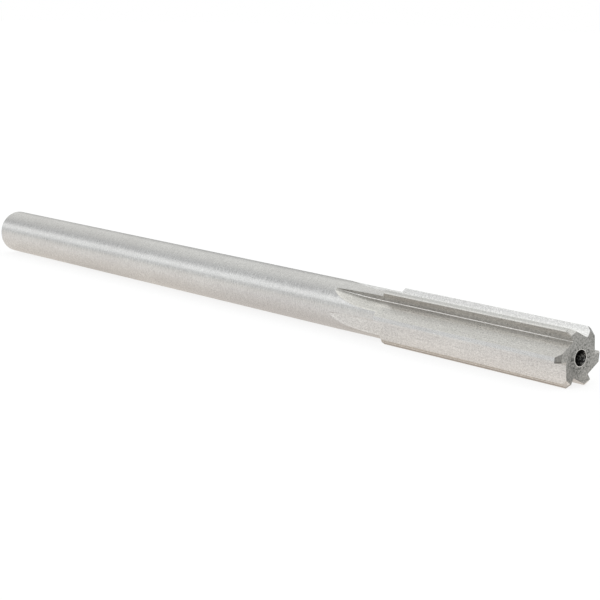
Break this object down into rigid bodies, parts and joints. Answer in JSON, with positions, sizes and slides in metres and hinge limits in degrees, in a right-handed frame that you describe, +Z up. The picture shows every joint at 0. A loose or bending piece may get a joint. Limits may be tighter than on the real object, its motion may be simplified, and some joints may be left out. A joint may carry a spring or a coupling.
{
  "type": "reamer",
  "caption": "Straight-shank chucking reamer with straight flutes and a short angled lead, for finishing a drilled hole to size.",
  "frame": {"origin": "on the tool's axis, at the middle of the shank's end face", "axes": "+X along the tool's axis from the shank to the cutting end, +Z up as the tool lies on a bench, +Y across"},
  "size_m": [0.1778, 0.0112, 0.01],
  "materials": {
    "ground_steel": "satin ground high-speed steel"
  },
  "bodies": {
    "root": {"reamer": "ground_steel"}
  },
  "joints": []
}
